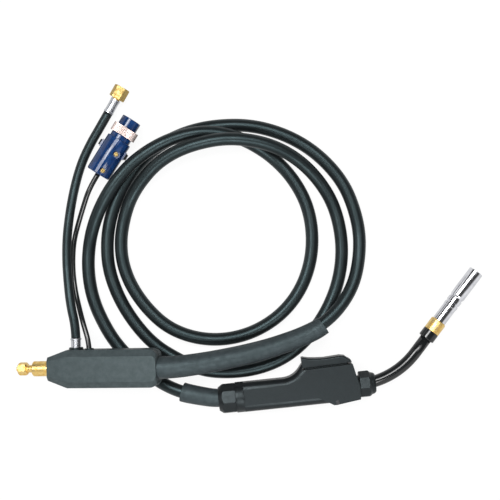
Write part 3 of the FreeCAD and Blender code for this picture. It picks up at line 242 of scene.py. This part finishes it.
def makeCasingTop():
    look = casingTop
    outline = casingLoop(look["wide"], look["noseWide"], -look["half"], look["half"], look["corner"])
    panel = casingLoop(look["wide"] - look["sideBevel"], look["noseWide"] - look["noseBevel"],
                       look["noseInset"] - look["half"], look["half"] - look["endBevel"],
                       look["panelCorner"])
    mesh = bpy.data.meshes.new("casingTopShell")
    shell = bmesh.new()
    place = casingFrame()
    levels = [[(x, y, 0) for x, y in outline],
              [(x, y, casingHeight(x) - look["shoulder"]) for x, y in outline],
              [(x, y, casingHeight(x)) for x, y in panel]]
    rings = [[shell.verts.new(place @ Vector(spot)) for spot in level] for level in levels]
    count = len(outline)
    for lower, upper in zip(rings, rings[1:]):
        for index in range(count):
            after = (index + 1) % count
            shell.faces.new((lower[index], lower[after], upper[after], upper[index]))
    top = rings[-1]
    for index in range(count // 2 - 1):
        shell.faces.new((top[index], top[index + 1], top[count - 2 - index], top[count - 1 - index]))
    bmesh.ops.recalc_face_normals(shell, faces=shell.faces)
    shell.faces.ensure_lookup_table()
    outward = place.to_3x3() @ Vector((0, 1, 0))  # where the first side face has to point
    if shell.faces[0].normal.dot(outward) < 0:
        bmesh.ops.reverse_faces(shell, faces=shell.faces)
    for face in shell.faces:
        face.smooth = True
    shell.to_mesh(mesh)
    shell.free()
    piece = addObject("casingTopShell", mesh)
    softenEdges(piece, look["edge"])
    wall = piece.modifiers.new("wall", "SOLIDIFY")
    wall.thickness = look["wall"]
    wall.offset = -1
    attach(piece, body)
    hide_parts("casing_shell_upper")
    return piece


casingTopShell = makeCasingTop()
print("casing top made")


# the points that lie between two lengths along a cord
def pointsBetween(points, start, end):
    reach = 0.0
    kept = []
    for before, after in zip(points, points[1:]):
        reach += (after - before).length
        if start <= reach <= end:
            kept.append(after)
    return kept


# main cable: EPDM rubber jacket over copper strands and a gas passage
mainCable = {"diameter": 0.0174, "length": 3.076, "exit": (-0.1765, -0.0586, 0.0206)}
cablePoints = splinePoints("cableRoute", cableRoute)
powerCable = sweepTube("powerCable", cablePoints, mainCable["diameter"] / 2)

# stiff rubber boot behind the rear nut, a little thicker at its open end
boot = {"start": 0.0165, "end": 0.086, "radius": 0.0121, "flare": 0.001, "edge": 0.0007}
cableBoot = sweepTube("cableBoot", pointsBetween(cablePoints, boot["start"], boot["end"]),
                      boot["radius"], boot["flare"])
softenEdges(cableBoot, boot["edge"])
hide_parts("handle_cable_boot")

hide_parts("main_cable")

# gas hose: smooth rubber, held by a ferrule at each end
gasHose = {"diameter": 0.0124, "length": 0.316, "exit": (-0.36616, 0.04306, 0.02329)}
hosePoints = splinePoints("hoseRoute", hoseRoute)
gasLine = sweepTube("gasLine", hosePoints, gasHose["diameter"] / 2)
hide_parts("gas_hose")

# control cable: the trigger's thin lead, which ends in the round plug
controlLead = {"diameter": 0.007, "length": 0.26, "exit": (-0.3492, 0.0265, 0.0266)}
controlPoints = splinePoints("controlRoute", controlRoute)
controlLine = sweepTube("controlLine", controlPoints, controlLead["diameter"] / 2)
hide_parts("control_cable")
print("cords laid")

# glossy neck: straight, bent once and straight again, from inside the handle to inside the collar
neck = {"start": (-0.0472, -0.0586, 0.0206), "straight": 0.052, "bend": 0.108, "angle": 47,
        "front": 0.032, "radius": 0.008, "steps": 40, "sides": 64}


def neckPoints():
    start = Vector(neck["start"])
    middle = start + Vector((neck["straight"], neck["bend"], 0))
    turns = [math.radians(neck["angle"]) * step / neck["steps"] for step in range(neck["steps"] + 1)]
    bent = [middle + Vector((math.sin(turn), -math.cos(turn), 0)) * neck["bend"] for turn in turns]
    way = Vector((math.cos(turns[-1]), math.sin(turns[-1]), 0))
    return [start] + bent + [bent[-1] + way * neck["front"]]


neckTube = sweepTube("neckTube", neckPoints(), neck["radius"], sides=neck["sides"])
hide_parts("neck_sleeve")

# chromed nozzle, turned: rear length, two raised bands with grooves beside them, wide front length;
# each pair is a distance from the collar's rear face and a radius
nozzle = {"place": (0.100154, -0.006703, 0.0206), "angle": neck["angle"], "sides": 96, "sharp": 20,
          "profile": [(0.02915, 0.0082), (0.02915, 0.009), (0.0296, 0.0093), (0.053, 0.0093),
                      (0.0535, 0.0098), (0.0575, 0.0098), (0.0581, 0.0088), (0.0599, 0.0088),
                      (0.0605, 0.0098), (0.066, 0.0098), (0.0666, 0.0088), (0.0684, 0.0088),
                      (0.0705, 0.00985), (0.0712, 0.01), (0.1119, 0.01), (0.1124, 0.0095),
                      (0.1124, 0.0082)]}


# a closed profile turned about its axis, smooth except where its faces meet at a sharp angle
def makeTurned(name, look):
    mesh = bpy.data.meshes.new(name)
    turned = bmesh.new()
    place = Matrix.Translation(look["place"]) @ Matrix.Rotation(math.radians(look["angle"]), 4, "Z")
    turns = [2 * math.pi * step / look["sides"] for step in range(look["sides"])]
    rings = [[turned.verts.new(place @ Vector((reach, radius * math.cos(turn), radius * math.sin(turn))))
              for turn in turns] for reach, radius in look["profile"]]
    for first, second in zip(rings, rings[1:] + rings[:1]):
        for step in range(look["sides"]):
            after = (step + 1) % look["sides"]
            face = turned.faces.new((first[step], first[after], second[after], second[step]))
            face.smooth = True
    bmesh.ops.recalc_face_normals(turned, faces=turned.faces)
    for edge in turned.edges:
        edge.smooth = edge.calc_face_angle() < math.radians(look["sharp"])
    turned.to_mesh(mesh)
    turned.free()
    return addObject(name, mesh)


nozzleShell = makeTurned("nozzleShell", nozzle)
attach(nozzleShell, "nozzle_body")
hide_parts("gas_nozzle")
print("neck and nozzle made")


# a finish whose colour and shine drift together in soft patches, with a relief of grain that spreads the
# shine; its dictionary gives the sizes of the patches and of the grain in millimetres, and the roughness
# of the dull and of the shiny patches; real grain is finer than a tenth of a millimetre and wouldn't
# show, so it is drawn coarser
driftBand = {"From Min": 0.36, "From Max": 0.64}  # where nearly all values of the noise lie
reliefShare = 0.25  # the relief's depth, as a share of the grain's size


def makeFinish(name, look, settings, patchNoise):
    material, tree, shader = newMaterial(name, settings)
    place = addNode(tree, "ShaderNodeTexCoord")
    drift = addNode(tree, "ShaderNodeTexNoise", {"Scale": perMillimetre(look["driftMm"]), **patchNoise},
                    {"Vector": place.outputs["Object"]})
    spread = addNode(tree, "ShaderNodeMapRange", driftBand, {"Value": drift.outputs["Fac"]})
    colour = addNode(tree, "ShaderNodeMix",
                     {"data_type": "RGBA", 6: hexToLinear(look["dark"]), 7: hexToLinear(look["light"])},
                     {"Factor": spread.outputs["Result"]})
    tree.links.new(colour.outputs[2], shader.inputs["Base Color"])
    dull, shiny = look["rough"]
    rough = addNode(tree, "ShaderNodeMapRange", {"To Min": dull, "To Max": shiny},
                    {"Value": spread.outputs["Result"]})
    tree.links.new(rough.outputs["Result"], shader.inputs["Roughness"])
    grain = addNode(tree, "ShaderNodeTexNoise",
                    {"Scale": perMillimetre(look["grainMm"]), "Detail": 2.0},
                    {"Vector": place.outputs["Object"]})
    relief = addNode(tree, "ShaderNodeBump",
                     {"Strength": look["grain"], "Distance": look["grainMm"] * reliefShare / 1000},
                     {"Height": grain.outputs["Fac"]})
    tree.links.new(relief.outputs["Normal"], shader.inputs["Normal"])
    return material


# plastics and rubbers
polymerFinishes = {
    # glass-filled nylon from a grained mould: dark, soft in its shine, faintly mottled by its fibre
    "mouldedNylon": {"dark": "#131516", "light": "#1a1c1e", "tint": "#b8c8cc", "ior": 1.5,
                     "rough": (0.42, 0.32), "driftMm": 7, "grainMm": 0.5, "grain": 0.3},
    # the casing's nylon is painted paler than the handle's, as painted light for the lamp light its tilted
    # top catches, and it is duller
    "casingNylonPaintedLight": {"dark": "#323a3c", "light": "#3c4446", "tint": "#cfe2e3", "ior": 1.53,
                    "rough": (0.54, 0.46), "driftMm": 8, "grainMm": 0.5, "grain": 0.35},
    # extruded rubber jacket: a soft sheen, dulled in long patches by a dusty bloom
    "epdmRubber": {"dark": "#111314", "light": "#1b1e1f", "tint": "#b4d4da", "ior": 1.5,
                   "rough": (0.4, 0.3), "driftMm": 26, "grainMm": 0.4, "grain": 0.15},
    # moulded rubber sleeve: rougher and paler than the cable's jacket
    "sleeveRubber": {"dark": "#282e30", "light": "#33393c", "tint": "#c0dade", "ior": 1.5,
                     "rough": (0.55, 0.45), "driftMm": 8, "grainMm": 0.5, "grain": 0.3},
    # smooth extruded insulation: a hard, narrow shine with only a long, faint waviness
    "pvcJacket": {"dark": "#131516", "light": "#1a1c1d", "tint": "#ffffff", "ior": 1.54,
                  "rough": (0.14, 0.1), "driftMm": 14, "grainMm": 12, "grain": 0.001},
    # dull black moulded plastic for small clamped pieces
    "blackPlastic": {"dark": "#08090a", "light": "#0e0f10", "tint": "#8c9092", "ior": 1.45,
                     "rough": (0.65, 0.55), "driftMm": 4, "grainMm": 0.4, "grain": 0.2},
    # ABS from a polished mould: glossy, with a faint waviness
    "navyAbs": {"dark": "#10264c", "light": "#183765", "tint": "#ffffff", "ior": 1.5,
                "rough": (0.11, 0.07), "driftMm": 12, "grainMm": 12, "grain": 0.001},
    # pressed insulator: chalky and off-white
    "paleInsulator": {"dark": "#c2bcae", "light": "#d2cdc0", "tint": "#ffffff", "ior": 1.5,
                      "rough": (0.6, 0.5), "driftMm": 5, "grainMm": 0.4, "grain": 0.2},
}
finishes = {name: makeFinish(name, look, {"Specular Tint": hexToLinear(look["tint"]), "IOR": look["ior"]},
                             {"Detail": 5.0, "Roughness": 0.62})
            for name, look in polymerFinishes.items()}

metalFinishes = {
    # turned and polished brass: golden, darker where it has begun to tarnish
    "polishedBrass": {"dark": "#e6bd68", "light": "#f5d894", "rough": (0.5, 0.32), "driftMm": 5,
                      "grainMm": 12, "grain": 0.001},
    # brass as cut from hexagon bar: pale and dull
    "barBrass": {"dark": "#bca266", "light": "#c5ac70", "rough": (0.75, 0.48), "driftMm": 4,
                 "grainMm": 6, "grain": 0.01},
    # brass screws deep in their recesses: painted dark brown, a painted shade for the shadow that the
    # recess casts on them
    "brassWithPaintedShade": {"dark": "#4e4328", "light": "#7e6b42", "rough": (0.5, 0.32), "driftMm": 1.5,
                  "grainMm": 0.6, "grain": 0.1},
    # bright chrome on copper: a mirror with hardly any haze
    "chromedCopper": {"dark": "#dcdde2", "light": "#eeeff3", "rough": (0.15, 0.096), "driftMm": 9,
                      "grainMm": 12, "grain": 0.001},
    # pressed steel under nickel: a soft grey shine
    "nickelledSteel": {"dark": "#c0c3c8", "light": "#d2d4d8", "rough": (0.375, 0.24), "driftMm": 3,
                       "grainMm": 6, "grain": 0.002},
    # drawn copper: reddish, with fine draw marks
    "drawnCopper": {"dark": "#b46a45", "light": "#c98259", "rough": (0.35, 0.224), "driftMm": 4,
                    "grainMm": 0.6, "grain": 0.08},
    # phosphated steel: nearly black, with a fine crystalline grain
    "phosphatedSteel": {"dark": "#3a3b3c", "light": "#4b4c4e", "rough": (0.5, 0.32), "driftMm": 2,
                        "grainMm": 0.4, "grain": 0.15},
    # knurled aluminium: pinkish, and matt from the knurling tool
    "knurledAluminium": {"dark": "#d4c3be", "light": "#dfd1cc", "rough": (0.625, 0.4), "driftMm": 4,
                         "grainMm": 0.5, "grain": 0.02},
}
finishes.update({name: makeFinish(name, look, {"Metallic": 1.0}, {"Detail": 4.0})
                 for name, look in metalFinishes.items()})

# which finish each solid of the frame has
wears = {
    "mouldedNylon": ["handle_shell_lower", "handle_shell_upper", "trigger", "rear_handle_nut",
                     "front_handle_nut"],
    "casingNylonPaintedLight": ["casing_shell_lower"],
    "epdmRubber": ["gas_port_grommet", "control_cable_grommet"],
    "sleeveRubber": ["machine_end_sleeve"],
    "pvcJacket": ["neck_collar", "switch_leads"],
    "blackPlastic": ["plug_clamp_nuts", "plug_insert", "switch_holder", "microswitch"],
    "navyAbs": ["plug_shell_lower", "plug_shell_upper", "plug_collar", "plug_nose", "switch_button"],
    "paleInsulator": ["nozzle_insulator"],
    "polishedBrass": ["nozzle_seat", "connector_spigot", "liner_nut", "liner_inlet_guide",
                      "gas_inlet_stub", "gas_tail", "gas_diffuser", "plug_pins",
                      "cable_crimp_fitting"],
    "barBrass": ["gas_nut"],
    "brassWithPaintedShade": ["plug_screws"],
    "nickelledSteel": ["upper_hose_ferrule", "lower_hose_ferrule"],
    "drawnCopper": ["contact_tip", "neck_conductor"],
    "phosphatedSteel": ["handle_screws", "casing_screws", "trigger_pin", "trigger_spring",
                        "wire_liner"],
    "knurledAluminium": ["coupling_ring"],
}
for finish, names in wears.items():
    for name in names:
        nodes[name].data.materials.clear()
        nodes[name].data.materials.append(finishes[finish])

for piece, finish in ((casingTopShell, "casingNylonPaintedLight"), (neckTube, "pvcJacket"),
                      (nozzleShell, "chromedCopper"), (powerCable, "epdmRubber"),
                      (cableBoot, "sleeveRubber"), (gasLine, "epdmRubber"), (controlLine, "pvcJacket")):
    piece.data.materials.append(finishes[finish])

# width that the edges of each solid are rounded by, in metres
edgeWidths = {
    "casing_shell_lower": 0.0012, "handle_shell_lower": 0.0008, "handle_shell_upper": 0.0008,
    "rear_handle_nut": 0.0008, "front_handle_nut": 0.0008, "trigger": 0.0006, "gas_nut": 0.0005,
    "coupling_ring": 0.00015, "plug_shell_lower": 0.0004, "plug_shell_upper": 0.0004,
}
for name, width in edgeWidths.items():
    softenEdges(nodes[name], width)
print("finishes made")

# floor and lamps: a softbox at each side of the coil, a wide one beyond its far side, one at the near
# side, and a narrow one that draws the line along the neck
studio = {"floorWidth": 30, "floorBelow": 0.0002, "floorColour": "#505050", "floorGlow": 0.92,
          "mirrorGlow": 0.66,
          "leftSoftbox": {"place": (-1.0, 0.55, 1.95), "size": (0.9, 0.9), "power": 20},
          "rightSoftbox": {"place": (0.80, 0.50, 1.95), "size": (0.9, 0.9), "power": 5.5},
          "farSoftbox": {"place": (-0.15, 0.85, 1.95), "size": (1.5, 0.7), "power": 26},
          "nearSoftbox": {"place": (-0.12, -0.8, 1.5), "size": (0.9, 0.7), "power": 14},
          "narrowSoftbox": {"place": (-0.30, 0.42, 1.95), "size": (0.9, 0.28), "power": 3},
          "worldLevel": 0.9, "dimLevel": 0.05, "paleLevel": 0.9,
          "nearCard": {"way": (0.0, -1.0, 0.0), "edge": (0.4, 0.62)},
          "leftCard": {"way": (-0.95, 0.3, 0.0), "edge": (0.76, 0.88)},
          "horizonEdge": (0.16, 0.06)}
coilMiddle = Vector((*camera["place"][:2], 0))


def makeFloor():
    mesh = bpy.data.meshes.new("studioFloor")
    half = studio["floorWidth"] / 2
    mesh.from_pydata([(-half, -half, 0), (half, -half, 0), (half, half, 0), (-half, half, 0)], [],
                     [(0, 1, 2, 3)])
    floor = addObject("studioFloor", mesh)
    floor.location.z = -studio["floorBelow"]
    material, tree, shader = newMaterial("whitePaper", {
        "Base Color": hexToLinear(studio["floorColour"]), "Roughness": 0.9,
        "Specular IOR Level": 0.0, "Emission Color": (1, 1, 1, 1)})
    path = addNode(tree, "ShaderNodeLightPath")
    mirrored = addNode(tree, "ShaderNodeMath", {"operation": "MAXIMUM"},
                       {0: path.outputs["Is Glossy Ray"], 1: path.outputs["Is Transmission Ray"]})
    mirrorGlow = addNode(tree, "ShaderNodeMath", {"operation": "MULTIPLY", 1: studio["mirrorGlow"]},
                         {0: mirrored.outputs[0]})
    glow = addNode(tree, "ShaderNodeMath", {"operation": "MULTIPLY_ADD", 1: studio["floorGlow"]},
                   {0: path.outputs["Is Camera Ray"], 2: mirrorGlow.outputs[0]})
    tree.links.new(glow.outputs[0], shader.inputs["Emission Strength"])
    mesh.materials.append(material)


def makeLamp(name, look):
    data = bpy.data.lights.new(name, "AREA")
    data.shape = "RECTANGLE"
    data.size, data.size_y = look["size"]
    data.energy = look["power"]
    lamp = addObject(name, data)
    lamp.location = look["place"]
    lamp.rotation_euler = (coilMiddle - lamp.location).to_track_quat("-Z", "Y").to_euler()


# what metal and gloss mirror: a dim room with white cards at the near side and the left, and a pale
# horizon; the camera sees plain white
def makeWorld():
    world = bpy.data.worlds.new("paleStudio")
    world.use_nodes = True
    bpy.context.scene.world = world
    tree = world.node_tree
    sky = tree.nodes["Background"]
    path = addNode(tree, "ShaderNodeLightPath")
    seen = addNode(tree, "ShaderNodeMath", {"operation": "MAXIMUM"},
                   {0: path.outputs["Is Camera Ray"], 1: path.outputs["Is Glossy Ray"]})
    clear = addNode(tree, "ShaderNodeMath", {"operation": "MAXIMUM"},
                    {0: seen.outputs[0], 1: path.outputs["Is Transmission Ray"]})
    level = addNode(tree, "ShaderNodeMapRange", {"To Min": studio["worldLevel"], "To Max": 1.0},
                    {"Value": clear.outputs[0]})
    tree.links.new(level.outputs["Result"], sky.inputs["Strength"])
    outlook = addNode(tree, "ShaderNodeTexCoord")
    rise = addNode(tree, "ShaderNodeSeparateXYZ", None, {"Vector": outlook.outputs["Generated"]})
    low, high = studio["horizonEdge"]
    pale = addNode(tree, "ShaderNodeMapRange",
                   {"interpolation_type": "SMOOTHSTEP", "From Min": low, "From Max": high},
                   {"Value": rise.outputs["Z"]})
    for name in ("nearCard", "leftCard"):
        card = studio[name]
        towards = addNode(tree, "ShaderNodeVectorMath", {"operation": "DOT_PRODUCT", 1: card["way"]},
                          {0: outlook.outputs["Generated"]})
        edge = addNode(tree, "ShaderNodeMapRange",
                       {"interpolation_type": "SMOOTHSTEP", "From Min": card["edge"][0],
                        "From Max": card["edge"][1]}, {"Value": towards.outputs["Value"]})
        pale = addNode(tree, "ShaderNodeMath", {"operation": "MAXIMUM"},
                       {0: pale.outputs[0], 1: edge.outputs[0]})
    room = addNode(tree, "ShaderNodeMapRange",
                   {"To Min": studio["dimLevel"], "To Max": studio["paleLevel"]},
                   {"Value": pale.outputs[0]})
    whole = addNode(tree, "ShaderNodeMix", {"data_type": "FLOAT", 3: 1.0},
                    {0: path.outputs["Is Camera Ray"], 2: room.outputs["Result"]})
    tree.links.new(whole.outputs[0], sky.inputs["Color"])


makeFloor()
for name in ("leftSoftbox", "rightSoftbox", "farSoftbox", "nearSoftbox", "narrowSoftbox"):
    makeLamp(name, studio[name])
makeWorld()
bpy.context.scene.view_settings.view_transform = "Standard"
print("studio lit")
